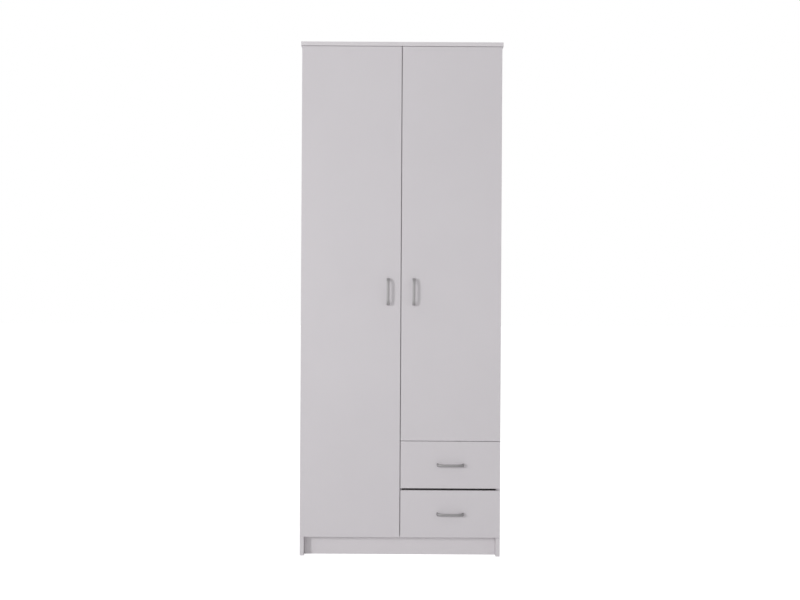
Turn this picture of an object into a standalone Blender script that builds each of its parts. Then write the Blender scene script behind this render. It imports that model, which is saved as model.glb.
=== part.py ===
"""Wardrobe with two doors and two drawers, as a flat-pack melamine board cabinet.

Metres, +Z up. The front faces -Y and +X is to the right of someone who stands in front of it.
The origin is on the floor, at the centre of the whole object's footprint.
"""

import math

import bmesh
import bpy
from mathutils import Matrix, Vector

# Carcass
WIDTH = 0.780
HEIGHT = 2.000
BOARD = 0.016
SIDE_DEPTH = 0.497
SHEET = 0.003
TOUCH = 0.0003
TOP_OVERHANG_SIDE = 0.003
TOP_OVERHANG_FRONT = 0.001
KICKBOARD_HEIGHT = 0.079
KICKBOARD_RECESS = 0.035
SHEET_INSET = 0.001
SHEET_SEAM = 0.001

# Doors and drawer fronts
STANDOFF = 0.002
REVEAL_SIDE = 0.0015
REVEAL_TOP = 0.0015
CENTRE_GAP = 0.003
FRONTS_BOTTOM = 0.077
DRAWER_FRONT_HEIGHT = 0.1825
DRAWER_GAP = 0.008
DOOR_DRAWER_GAP = 0.002

# Shelves and hanging rail
SHELF_SETBACK = 0.020
SHELF_DEPTH = 0.470
SHELF_SIDE_PLAY = 0.001
SHELF_BOTTOMS = (0.812, 1.152, 1.540)
HAT_SHELF_BOTTOM = 1.668
DRAWER_DECK_BOTTOM = 0.443
RAIL_DROP = 0.043
RAIL_HEIGHT = 0.030
RAIL_WIDTH = 0.015
RAIL_WALL = 0.0012
SOCKET_WALL = 0.003
SOCKET_DEPTH = 0.014

# Handles: a bow of flat bar on two feet
HANDLE_LENGTH = 0.106
HANDLE_REACH = 0.026
HANDLE_BAR = 0.0046
HANDLE_FOOT = 0.0065
HANDLE_WIDTH_MIDDLE = 0.0100
HANDLE_WIDTH_FOOT = 0.0125
HANDLE_SQUARENESS = 4.0
HANDLE_CHAMFER_SHARE = 0.22
HANDLE_STEPS = 22
DOOR_HANDLE_INSET = 0.050

# Drawer boxes
DRAWER_BOARD = 0.012
DRAWER_DEPTH = 0.450
DRAWER_BOX_HEIGHT = 0.130
DRAWER_BOX_RAISE = 0.035
DRAWER_BOTTOM_RAISE = 0.010
GROOVE_DEPTH = 0.006
RUNNER_SPACE = 0.0125

# Roller runners, measured from the drawer box's bottom and from the faces they are screwed to
STEEL = 0.0012
RUNNER_START = 0.004
CHANNEL_BELOW = 0.0030
CHANNEL_ABOVE = 0.0162
CHANNEL_REACH = 0.0095
FRONT_WHEEL_RADIUS = 0.0060
FRONT_WHEEL_WIDTH = 0.0080
FRONT_WHEEL_OUT = 0.0050
FRONT_WHEEL_RAISE = 0.0055
FRONT_WHEEL_SETBACK = 0.020
LEDGE_RAISE = 0.0120
LEDGE_REACH = 0.0078
FOOT_REACH = 0.0100
REAR_WHEEL_RADIUS = 0.0079
REAR_WHEEL_WIDTH = 0.0060
REAR_WHEEL_OUT = 0.0052
REAR_WHEEL_RAISE = 0.0066
REAR_WHEEL_INSET = 0.014

# Facets of round shapes, and how far a cutter passes the surface it opens
ROUND_SIDES = 24
CUP_SIDES = 32
WHEEL_SIDES = 20
PIN_SIDES = 16
CUT_CLEAR = 0.004

# Concealed hinges. The plan is measured from the outer front corner of the door:
# u runs along the door towards its free edge, v runs back from the door's front face.
HINGE_ARM_PIVOT = (0.0320, 0.0185)
HINGE_CUP_PIVOT = (0.0120, 0.0120)
HINGE_END_INSET = 0.100
CUP_CENTRE = 0.0225
CUP_RADIUS = 0.0175
CUP_DEPTH = 0.0118
CUP_WALL = 0.0015
CUP_FLOOR = 0.0012
CUP_RIM = 0.0015
CUP_EAR_HALF_HEIGHT = 0.026
CUP_EAR_HALF_WIDTH = 0.0085
CUP_NOTCH_START = 0.001
CUP_NOTCH_DEPTH = 0.0012
CUP_NOTCH_HALF_HEIGHT = 0.0082
CUP_SLOT_HALF_HEIGHT = 0.0054
PIN_RADIUS = 0.0015
PIN_PLAY = 0.0003
CHEEK_INSIDE = 0.0050
CHEEK_OUTSIDE = 0.0063
CUP_PIN_HALF_LENGTH = 0.0058
ARM_PIN_HALF_LENGTH = 0.0067
NOSE_RADIUS = 0.0030
LINK_HALF_HEIGHT = 0.0044
LINK_END_RADIUS = 0.0024
LINK_HALF_WIDTH = 0.0018
LINK_BOW_PLACE = 0.25
LINK_BOW_DEPTH = 0.012
LINK_STEPS = 10
LINK_END_SPREAD = 70
ARM_STEEL = 0.0013
ARM_END = 0.080
ARM_WEB_START = 0.025
ARM_WEB_END = 0.076
ARM_INNER = 0.0190
ARM_NECK_START = 0.007
ARM_NECK_END = 0.016
SADDLE_START = 0.036
SADDLE_END = 0.0745
SADDLE_INNER = 0.0196
SADDLE_HALF_HEIGHT = 0.0088
PLATE_CENTRE = 0.055
PLATE_HALF_DEPTH = 0.008
PLATE_HALF_HEIGHT = 0.027
PLATE_STEEL = 0.0022

# Positions that follow from the sizes
HALF_WIDTH = WIDTH / 2
TOTAL_DEPTH = HANDLE_REACH + BOARD + STANDOFF + SIDE_DEPTH + TOUCH + SHEET
DOOR_FRONT = -TOTAL_DEPTH / 2 + HANDLE_REACH
DOOR_BACK = DOOR_FRONT + BOARD
CARCASS_FRONT = DOOR_BACK + STANDOFF
CARCASS_REAR = CARCASS_FRONT + SIDE_DEPTH
TOP_UNDERSIDE = HEIGHT - BOARD
INNER_X = HALF_WIDTH - BOARD
FRONTS_TOP = TOP_UNDERSIDE - REVEAL_TOP
LOWER_FRONT_TOP = FRONTS_BOTTOM + DRAWER_FRONT_HEIGHT
UPPER_FRONT_BOTTOM = LOWER_FRONT_TOP + DRAWER_GAP
UPPER_FRONT_TOP = UPPER_FRONT_BOTTOM + DRAWER_FRONT_HEIGHT
RIGHT_DOOR_BOTTOM = UPPER_FRONT_TOP + DOOR_DRAWER_GAP
FRONT_OUTER_X = HALF_WIDTH - REVEAL_SIDE
FRONT_INNER_X = CENTRE_GAP / 2
BOTTOM_TOP = KICKBOARD_HEIGHT + BOARD
DOOR_HANDLE_Z = (FRONTS_BOTTOM + FRONTS_TOP) / 2


def clear_scene():
    """Remove whatever the scene holds."""
    for obj in list(bpy.data.objects):
        bpy.data.objects.remove(obj, do_unlink=True)


def finish(name, color, roughness, metallic=0.0):
    """One Principled material."""
    material = bpy.data.materials.new(name)
    material.use_nodes = True
    shader = material.node_tree.nodes["Principled BSDF"]
    shader.inputs["Base Color"].default_value = (*color, 1.0)
    shader.inputs["Roughness"].default_value = roughness
    shader.inputs["Metallic"].default_value = metallic
    return material


def make_finishes():
    """The object's materials, by slot name."""
    return {
        "white_melamine": finish("white_melamine", (0.80, 0.79, 0.80), 0.42),
        "drawer_melamine": finish("drawer_melamine", (0.78, 0.77, 0.77), 0.50),
        "hardboard": finish("hardboard", (0.42, 0.28, 0.16), 0.70),
        "satin_nickel": finish("satin_nickel", (0.56, 0.55, 0.53), 0.32, 1.0),
        "hinge_steel": finish("hinge_steel", (0.62, 0.62, 0.60), 0.26, 1.0),
        "runner_enamel": finish("runner_enamel", (0.82, 0.82, 0.80), 0.40),
        "rail_chrome": finish("rail_chrome", (0.72, 0.72, 0.72), 0.14, 1.0),
        "white_plastic": finish("white_plastic", (0.82, 0.82, 0.81), 0.45),
    }


def box_shape(low, high):
    """A closed box between two corners."""
    shape = bmesh.new()
    bmesh.ops.create_cube(shape, size=1.0)
    low = Vector(low)
    high = Vector(high)
    bmesh.ops.scale(shape, vec=high - low, verts=shape.verts)
    bmesh.ops.translate(shape, vec=(low + high) / 2, verts=shape.verts)
    return shape


def prism_shape(outline, start, end, place):
    """An outline of pairs, extruded from start to end. place turns (a, b, along) into a point."""
    shape = bmesh.new()
    rings = []
    for along in (start, end):
        rings.append([shape.verts.new(place(a, b, along)) for a, b in outline])
    shape.faces.new(rings[0])
    shape.faces.new(rings[1])
    count = len(outline)
    for i in range(count):
        j = (i + 1) % count
        shape.faces.new((rings[0][i], rings[0][j], rings[1][j], rings[1][i]))
    bmesh.ops.recalc_face_normals(shape, faces=shape.faces)
    return shape


def cylinder_shape(centre, axis, radius, length, sides=ROUND_SIDES):
    """A closed cylinder whose middle is at centre."""
    shape = bmesh.new()
    turn = Vector((0, 0, 1)).rotation_difference(Vector(axis)).to_matrix().to_4x4()
    bmesh.ops.create_cone(
        shape,
        cap_ends=True,
        segments=sides,
        radius1=radius,
        radius2=radius,
        depth=length,
        matrix=Matrix.Translation(Vector(centre)) @ turn,
    )
    return shape


def temporary_object(shape):
    """A shape as an object of the scene, for a Boolean."""
    mesh = bpy.data.meshes.new("operand")
    shape.to_mesh(mesh)
    shape.free()
    obj = bpy.data.objects.new("operand", mesh)
    bpy.context.scene.collection.objects.link(obj)
    return obj


def combine(first, second, operation):
    """The Boolean of two closed shapes, as a new shape."""
    base = temporary_object(first)
    other = temporary_object(second)
    step = base.modifiers.new("combine", "BOOLEAN")
    step.operation = operation
    step.object = other
    evaluated = base.evaluated_get(bpy.context.evaluated_depsgraph_get())
    result = bmesh.new()
    result.from_mesh(evaluated.to_mesh())
    evaluated.to_mesh_clear()
    for obj in (base, other):
        mesh = obj.data
        bpy.data.objects.remove(obj, do_unlink=True)
        bpy.data.meshes.remove(mesh)
    return result


def union(first, *others):
    """All the shapes as one solid."""
    for other in others:
        first = combine(first, other, "UNION")
    return first


def cut(first, *cutters):
    """The first shape less the others."""
    for cutter in cutters:
        first = combine(first, cutter, "DIFFERENCE")
    return first


def make_axis(name, point, parent=None):
    """An empty that stands on a joint's axis."""
    empty = bpy.data.objects.new(name, None)
    bpy.context.scene.collection.objects.link(empty)
    empty.empty_display_size = 0.02
    empty.location = Vector(point)
    if parent:
        empty.parent = parent
        empty.location -= Vector(parent["point"])
    empty["point"] = tuple(point)
    return empty


def make_piece(name, shape, material, origin, parent=None, smooth=False):
    """A shape in world coordinates as a named object, with its origin at a point."""
    origin = Vector(origin)
    bmesh.ops.translate(shape, vec=-origin, verts=shape.verts)
    mesh = bpy.data.meshes.new(name)
    shape.to_mesh(mesh)
    shape.free()
    mesh.materials.append(material)
    obj = bpy.data.objects.new(name, mesh)
    bpy.context.scene.collection.objects.link(obj)
    obj.location = origin
    if parent:
        obj.parent = parent
        obj.location -= Vector(parent["point"])
    if smooth:
        mesh.shade_smooth()
        mesh.set_sharp_from_angle(angle=math.radians(35))
    return obj


def make_board(name, low, high, material, parent=None):
    """A rectangular board, with its origin at its centre."""
    centre = (Vector(low) + Vector(high)) / 2
    return make_piece(name, box_shape(low, high), material, centre, parent)


def make_carcass(finishes):
    """Sides, partition, top, bottom, kickboard and back."""
    white = finishes["white_melamine"]
    front, rear = CARCASS_FRONT, CARCASS_REAR
    panel_top = TOP_UNDERSIDE - TOUCH
    make_board(
        "left_side_panel",
        (-HALF_WIDTH, front, 0),
        (-INNER_X, rear, panel_top),
        white,
    )
    make_board(
        "right_side_panel",
        (INNER_X, front, 0),
        (HALF_WIDTH, rear, panel_top),
        white,
    )
    top_x = HALF_WIDTH + TOP_OVERHANG_SIDE
    make_board(
        "top_panel",
        (-top_x, DOOR_FRONT - TOP_OVERHANG_FRONT, TOP_UNDERSIDE),
        (top_x, rear, HEIGHT),
        white,
    )
    span = INNER_X - TOUCH
    make_board(
        "bottom_panel",
        (-span, front, KICKBOARD_HEIGHT),
        (span, rear, BOTTOM_TOP),
        white,
    )
    kick_front = front + KICKBOARD_RECESS
    make_board(
        "kickboard",
        (-span, kick_front, 0),
        (span, kick_front + BOARD, KICKBOARD_HEIGHT - TOUCH),
        white,
    )
    make_board(
        "centre_partition",
        (-BOARD / 2, front, BOTTOM_TOP + TOUCH),
        (BOARD / 2, rear, panel_top),
        white,
    )
    sheet_x = HALF_WIDTH - SHEET_INSET
    for name, low_x, high_x in (
        ("back_panel_left", -sheet_x, -SHEET_SEAM / 2),
        ("back_panel_right", SHEET_SEAM / 2, sheet_x),
    ):
        make_board(
            name,
            (low_x, rear + TOUCH, KICKBOARD_HEIGHT + SHEET_INSET),
            (high_x, rear + TOUCH + SHEET, HEIGHT - SHEET_INSET),
            finishes["hardboard"],
        )


def make_shelves(finishes):
    """The fixed hat shelf and drawer deck, and the loose shelves on the right."""
    white = finishes["white_melamine"]
    half = BOARD / 2 + TOUCH
    span = INNER_X - TOUCH
    setback = CARCASS_FRONT + SHELF_SETBACK
    rear = CARCASS_REAR - TOUCH
    make_board(
        "hat_shelf",
        (-span, setback, HAT_SHELF_BOTTOM),
        (-half, rear, HAT_SHELF_BOTTOM + BOARD),
        white,
    )
    make_board(
        "drawer_deck",
        (half, CARCASS_FRONT, DRAWER_DECK_BOTTOM),
        (span, rear, DRAWER_DECK_BOTTOM + BOARD),
        white,
    )
    left_x = BOARD / 2 + SHELF_SIDE_PLAY
    right_x = INNER_X - SHELF_SIDE_PLAY
    for number, bottom in enumerate(SHELF_BOTTOMS, start=1):
        make_board(
            f"shelf_{number}",
            (left_x, setback, bottom),
            (right_x, setback + SHELF_DEPTH, bottom + BOARD),
            white,
        )


def oval(width, height, steps=ROUND_SIDES):
    """An upright stadium outline, as (across, up) pairs around its centre."""
    radius = width / 2
    straight = height / 2 - radius
    points = []
    for i in range(steps + 2):
        upper = i <= steps // 2
        turn = math.pi * (i if upper else i - 1) / (steps // 2)
        lift = straight if upper else -straight
        points.append((radius * math.cos(turn), lift + radius * math.sin(turn)))
    return points


def make_rail(finishes):
    """The oval hanging rail of the left compartment and the two sockets that hold it."""
    y = CARCASS_FRONT + SIDE_DEPTH / 2
    z = HAT_SHELF_BOTTOM - RAIL_DROP
    left, right = -INNER_X, -BOARD / 2

    def along_x(across, up, along):
        return (along, y + across, z + up)

    floor = SOCKET_WALL + TOUCH
    ends = (left + floor + TOUCH, right - floor - TOUCH)
    tube = cut(
        prism_shape(oval(RAIL_WIDTH, RAIL_HEIGHT), *ends, along_x),
        prism_shape(
            oval(RAIL_WIDTH - 2 * RAIL_WALL, RAIL_HEIGHT - 2 * RAIL_WALL),
            ends[0] - BOARD,
            ends[1] + BOARD,
            along_x,
        ),
    )
    middle = (left + right) / 2
    make_piece("hanging_rail", tube, finishes["rail_chrome"], (middle, y, z), smooth=True)
    wall = 2 * SOCKET_WALL
    for name, face, inward in (("left_rail_socket", left, 1), ("right_rail_socket", right, -1)):
        base = face + inward * TOUCH
        outside = prism_shape(
            oval(RAIL_WIDTH + wall, RAIL_HEIGHT + wall),
            base,
            base + inward * SOCKET_DEPTH,
            along_x,
        )
        pocket = prism_shape(
            oval(RAIL_WIDTH + 2 * TOUCH, RAIL_HEIGHT + 2 * TOUCH),
            base + inward * SOCKET_WALL,
            base + inward * (SOCKET_DEPTH + BOARD),
            along_x,
        )
        make_piece(
            name,
            cut(outside, pocket),
            finishes["white_plastic"],
            (face, y, z),
            smooth=True,
        )


def handle_shape(centre, upright):
    """A bow handle on the front face: flat bar that rises from two feet and arches between them."""
    half_length = HANDLE_LENGTH / 2
    reach = HANDLE_REACH - TOUCH
    power = 2 / HANDLE_SQUARENESS
    shape = bmesh.new()
    rings = []
    for i in range(HANDLE_STEPS + 1):
        turn = math.pi * i / HANDLE_STEPS
        side = math.copysign(abs(math.cos(turn)) ** power, math.cos(turn))
        if i == HANDLE_STEPS // 2:
            side = 0.0
        rise = abs(math.sin(turn)) ** power if 0 < i < HANDLE_STEPS else 0.0
        outer = (half_length * side, reach * rise)
        inner = ((half_length - HANDLE_FOOT) * side, (reach - HANDLE_BAR) * rise)
        widening = abs(side) ** 3
        half = (HANDLE_WIDTH_MIDDLE + (HANDLE_WIDTH_FOOT - HANDLE_WIDTH_MIDDLE) * widening) / 2
        rings.append([shape.verts.new(p) for p in bar_section(outer, inner, half)])
    for first, second in zip(rings, rings[1:]):
        count = len(first)
        for k in range(count):
            nxt = (k + 1) % count
            shape.faces.new((first[k], first[nxt], second[nxt], second[k]))
    shape.faces.new(rings[0])
    shape.faces.new(rings[-1])
    bmesh.ops.recalc_face_normals(shape, faces=shape.faces)
    turn = Matrix.Rotation(math.radians(90), 4, "Y") if upright else Matrix.Identity(4)
    bmesh.ops.transform(shape, matrix=Matrix.Translation(Vector(centre)) @ turn, verts=shape.verts)
    return shape


def bar_section(outer, inner, half):
    """Eight points around the bar: outer and inner edges with chamfered corners."""
    chamfer = HANDLE_CHAMFER_SHARE
    narrow = half * (1 - 2 * chamfer)
    corners = (
        (0.0, narrow),
        (chamfer, half),
        (1 - chamfer, half),
        (1.0, narrow),
        (1.0, -narrow),
        (1 - chamfer, -half),
        (chamfer, -half),
        (0.0, -narrow),
    )
    points = []
    for share, across in corners:
        along = outer[0] + (inner[0] - outer[0]) * share
        rise = outer[1] + (inner[1] - outer[1]) * share
        points.append((along, -rise, across))
    return points


def make_handle(name, x, z, upright, parent, finishes):
    """One handle on the front face, at a height and a place across."""
    foot = (x, DOOR_FRONT - TOUCH, z)
    shape = handle_shape(foot, upright)
    make_piece(name, shape, finishes["satin_nickel"], foot, parent, smooth=True)


class HingeSide:
    """Turns the hinge plan of one door into world points. side is -1 for left and 1 for right."""

    def __init__(self, side):
        self.side = side

    def x(self, u):
        return self.side * (FRONT_OUTER_X - u)

    def point(self, pivot, z=0.0):
        return (self.x(pivot[0]), DOOR_FRONT + pivot[1], z)

    def prism(self, outline, low, high):
        """A plan outline of (u, v) pairs, from one height to another."""
        return prism_shape(outline, low, high, lambda u, v, z: self.point((u, v), z))

    def box(self, low, high):
        """A box between two (u, v, z) corners."""
        first = Vector((*self.point(low[:2])[:2], low[2]))
        second = Vector((*self.point(high[:2])[:2], high[2]))
        return box_shape(
            [min(a, b) for a, b in zip(first, second)],
            [max(a, b) for a, b in zip(first, second)],
        )

    def pin(self, pivot, z, radius, half_height):
        return cylinder_shape(self.point(pivot, z), (0, 0, 1), radius, 2 * half_height, PIN_SIDES)


def arc(centre, radius, start, end, steps):
    """Points on an arc, angles in degrees."""
    points = []
    for i in range(steps + 1):
        turn = math.radians(start + (end - start) * i / steps)
        points.append((centre[0] + radius * math.cos(turn), centre[1] + radius * math.sin(turn)))
    return points


def arm_outline():
    """Plan of the arm's cheeks: a round nose at the pivot that widens into a straight arm."""
    u, v = HINGE_ARM_PIVOT
    outer = u + NOSE_RADIUS
    return arc((u, v), NOSE_RADIUS, -180, 0, 10) + [
        (outer, ARM_END - NOSE_RADIUS),
        (outer - NOSE_RADIUS, ARM_END),
        (ARM_INNER, ARM_END),
        (ARM_INNER, v + ARM_NECK_END),
        (u - NOSE_RADIUS, v + ARM_NECK_START),
    ]


def arm_shape(plan, z):
    """A pressed steel arm on its mounting plate: two cheeks, a web, a saddle and a crosswise plate."""
    outer = HINGE_ARM_PIVOT[0] + NOSE_RADIUS
    board_face = FRONT_OUTER_X - INNER_X + TOUCH
    outline = arm_outline()
    upper = plan.prism(outline, z + CHEEK_INSIDE, z + CHEEK_OUTSIDE)
    lower = plan.prism(outline, z - CHEEK_OUTSIDE, z - CHEEK_INSIDE)
    web = plan.box(
        (outer - ARM_STEEL, ARM_WEB_START, z - CHEEK_OUTSIDE),
        (outer, ARM_WEB_END, z + CHEEK_OUTSIDE),
    )
    saddle = plan.box(
        (board_face, SADDLE_START, z - SADDLE_HALF_HEIGHT),
        (SADDLE_INNER, SADDLE_END, z + SADDLE_HALF_HEIGHT),
    )
    plate = plan.box(
        (board_face, PLATE_CENTRE - PLATE_HALF_DEPTH, z - PLATE_HALF_HEIGHT),
        (board_face + PLATE_STEEL, PLATE_CENTRE + PLATE_HALF_DEPTH, z + PLATE_HALF_HEIGHT),
    )
    bore = plan.pin(HINGE_ARM_PIVOT, z, PIN_RADIUS + PIN_PLAY, 2 * CHEEK_OUTSIDE)
    return cut(union(upper, web, lower, saddle, plate), bore)


def link_outline():
    """Plan of the link: a gooseneck that reaches over the cup's rim when the door is open."""
    start = Vector(HINGE_CUP_PIVOT)
    end = Vector(HINGE_ARM_PIVOT)
    along = (end - start).normalized()
    across = Vector((-along.y, along.x))
    length = (end - start).length
    control = start + along * length * LINK_BOW_PLACE - across * LINK_BOW_DEPTH
    left, right = [], []
    for i in range(1, LINK_STEPS):
        t = i / LINK_STEPS
        point = start * (1 - t) ** 2 + control * 2 * t * (1 - t) + end * t**2
        heading = ((control - start) * (1 - t) + (end - control) * t).normalized()
        normal = Vector((-heading.y, heading.x)) * LINK_HALF_WIDTH
        left.append(tuple(point + normal))
        right.append(tuple(point - normal))
    first = math.degrees(math.atan2(*(control - start).yx))
    last = math.degrees(math.atan2(*(end - control).yx))
    behind = first + 180
    spread = LINK_END_SPREAD
    cup_end = arc(start, LINK_END_RADIUS, behind - spread, behind + spread, 8)
    arm_end = arc(end, LINK_END_RADIUS, last - spread, last + spread, 8)
    return cup_end + right + arm_end + left[::-1]


def link_shape(plan, z):
    """The link with its two pins: one turns in the arm's cheeks, the other in the cup."""
    bar = plan.prism(link_outline(), z - LINK_HALF_HEIGHT, z + LINK_HALF_HEIGHT)
    arm_pin = plan.pin(HINGE_ARM_PIVOT, z, PIN_RADIUS, ARM_PIN_HALF_LENGTH)
    cup_pin = plan.pin(HINGE_CUP_PIVOT, z, PIN_RADIUS, CUP_PIN_HALF_LENGTH)
    return union(bar, arm_pin, cup_pin)


def cup_cylinder(plan, radius, low_v, high_v, z):
    """A cylinder on the cup's centre line, between two depths."""
    centre = plan.point((CUP_CENTRE, (low_v + high_v) / 2), z)
    return cylinder_shape(centre, (0, 1, 0), radius, high_v - low_v, CUP_SIDES)


def cup_shape(plan, z):
    """A round cup with two screw ears, open towards the carcass and notched for the arm."""
    bottom = BOARD - CUP_DEPTH
    rim = BOARD + CUP_RIM
    above = rim + CUT_CLEAR
    radius = CUP_RADIUS - TOUCH
    shell = cup_cylinder(plan, radius, bottom, rim, z)
    ears = plan.box(
        (CUP_CENTRE - CUP_EAR_HALF_WIDTH, BOARD + TOUCH, z - CUP_EAR_HALF_HEIGHT),
        (CUP_CENTRE + CUP_EAR_HALF_WIDTH, rim, z + CUP_EAR_HALF_HEIGHT),
    )
    inside = cup_cylinder(plan, radius - CUP_WALL, bottom + CUP_FLOOR, above, z)
    notch = plan.box(
        (CUP_NOTCH_START, BOARD - CUP_NOTCH_DEPTH, z - CUP_NOTCH_HALF_HEIGHT),
        (CUP_CENTRE, above, z + CUP_NOTCH_HALF_HEIGHT),
    )
    slot = plan.box(
        (CUP_NOTCH_START, bottom + CUP_FLOOR, z - CUP_SLOT_HALF_HEIGHT),
        (CUP_CENTRE, above, z + CUP_SLOT_HALF_HEIGHT),
    )
    return cut(union(shell, ears), inside, notch, slot)


def make_hinge(label, side, z, axes, finishes):
    """Arm on the carcass, link, and cup in the door."""
    plan = HingeSide(side)
    steel = finishes["hinge_steel"]
    link_axis, door_axis = axes
    plate_point = (side * INNER_X, DOOR_FRONT + PLATE_CENTRE, z)
    make_piece(f"{label}_arm", arm_shape(plan, z), steel, plate_point, smooth=True)
    pivot = plan.point(HINGE_ARM_PIVOT, z)
    make_piece(f"{label}_link", link_shape(plan, z), steel, pivot, link_axis, smooth=True)
    cup_point = plan.point((CUP_CENTRE, BOARD), z)
    make_piece(f"{label}_cup", cup_shape(plan, z), steel, cup_point, door_axis, smooth=True)


def make_door(label, side, bottom, finishes):
    """Door panel bored for its cups, its handle and its three hinges."""
    plan = HingeSide(side)
    middle = (bottom + FRONTS_TOP) / 2
    link_axis = make_axis(f"{label}_link_axis", plan.point(HINGE_ARM_PIVOT, middle))
    door_axis = make_axis(f"{label}_axis", plan.point(HINGE_CUP_PIVOT, middle), link_axis)
    panel = box_shape(
        (min(side * FRONT_INNER_X, side * FRONT_OUTER_X), DOOR_FRONT, bottom),
        (max(side * FRONT_INNER_X, side * FRONT_OUTER_X), DOOR_BACK, FRONTS_TOP),
    )
    heights = (bottom + HINGE_END_INSET, middle, FRONTS_TOP - HINGE_END_INSET)
    bore_floor = BOARD - CUP_DEPTH - TOUCH
    for z in heights:
        panel = cut(panel, cup_cylinder(plan, CUP_RADIUS, bore_floor, BOARD + CUT_CLEAR, z))
    centre = (side * (FRONT_INNER_X + FRONT_OUTER_X) / 2, DOOR_BACK - BOARD / 2, middle)
    make_piece(f"{label}_panel", panel, finishes["white_melamine"], centre, door_axis)
    for place, z in zip(("lower", "middle", "upper"), heights):
        make_hinge(f"{label}_{place}_hinge", side, z, (link_axis, door_axis), finishes)
    handle_x = side * DOOR_HANDLE_INSET
    make_handle(f"{label}_handle", handle_x, DOOR_HANDLE_Z, True, door_axis, finishes)


def grooved_outline(inside, outside, bottom):
    """Section of a drawer side across X and Z, with the groove for the bottom sheet."""
    inward = math.copysign(1.0, inside - outside)
    groove_low = bottom + DRAWER_BOTTOM_RAISE - TOUCH
    groove_high = groove_low + SHEET + 2 * TOUCH
    deep = inside - inward * GROOVE_DEPTH
    top = bottom + DRAWER_BOX_HEIGHT
    return [
        (outside, bottom),
        (inside, bottom),
        (inside, groove_low),
        (deep, groove_low),
        (deep, groove_high),
        (inside, groove_high),
        (inside, top),
        (outside, top),
    ]


def along_depth(x, z, y):
    """A point of a section that runs along the depth."""
    return (x, y, z)


def runner_shapes(face, box_side, inward, bottom, start):
    """The two pressed steel members of one roller runner, with their wheels.

    face is the carcass face, box_side the drawer side's outer face, inward the way between them.
    """
    end = start + DRAWER_DEPTH
    return (
        cabinet_runner(face, inward, bottom, start, end),
        drawer_runner(box_side, inward, bottom, start, end),
    )


def cabinet_runner(face, inward, bottom, start, end):
    """A channel on the carcass, open inward, with the front wheel."""
    web = face + inward * TOUCH
    web_inside = web + inward * STEEL
    lip = face + inward * CHANNEL_REACH
    low, high = bottom - CHANNEL_BELOW, bottom + CHANNEL_ABOVE
    channel = [
        (web, low),
        (lip, low),
        (lip, low + STEEL),
        (web_inside, low + STEEL),
        (web_inside, high - STEEL),
        (lip, high - STEEL),
        (lip, high),
        (web, high),
    ]
    wheel_place = (
        face + inward * FRONT_WHEEL_OUT,
        start + FRONT_WHEEL_SETBACK,
        bottom + FRONT_WHEEL_RAISE,
    )
    wheel_size = (FRONT_WHEEL_RADIUS, FRONT_WHEEL_WIDTH, WHEEL_SIDES)
    return union(
        prism_shape(channel, start + RUNNER_START, end, along_depth),
        cylinder_shape(wheel_place, (1, 0, 0), *wheel_size),
    )


def drawer_runner(box_side, inward, bottom, start, end):
    """An angle under the drawer side, with a ledge that runs on the front wheel, and the rear wheel."""
    side = box_side - inward * TOUCH
    leg = side - inward * STEEL
    ledge_tip = side - inward * LEDGE_REACH
    foot_tip = side + inward * FOOT_REACH
    ledge = bottom + LEDGE_RAISE
    foot = bottom - TOUCH
    angle = [
        (side, ledge + STEEL),
        (ledge_tip, ledge + STEEL),
        (ledge_tip, ledge),
        (leg, ledge),
        (leg, foot - STEEL),
        (foot_tip, foot - STEEL),
        (foot_tip, foot),
        (side, foot),
    ]
    wheel_place = (
        side - inward * REAR_WHEEL_OUT,
        end - REAR_WHEEL_INSET,
        bottom + REAR_WHEEL_RAISE,
    )
    wheel_size = (REAR_WHEEL_RADIUS, REAR_WHEEL_WIDTH, WHEEL_SIDES)
    return union(
        prism_shape(angle, start + RUNNER_START, end - RUNNER_START, along_depth),
        cylinder_shape(wheel_place, (1, 0, 0), *wheel_size),
    )


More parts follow.
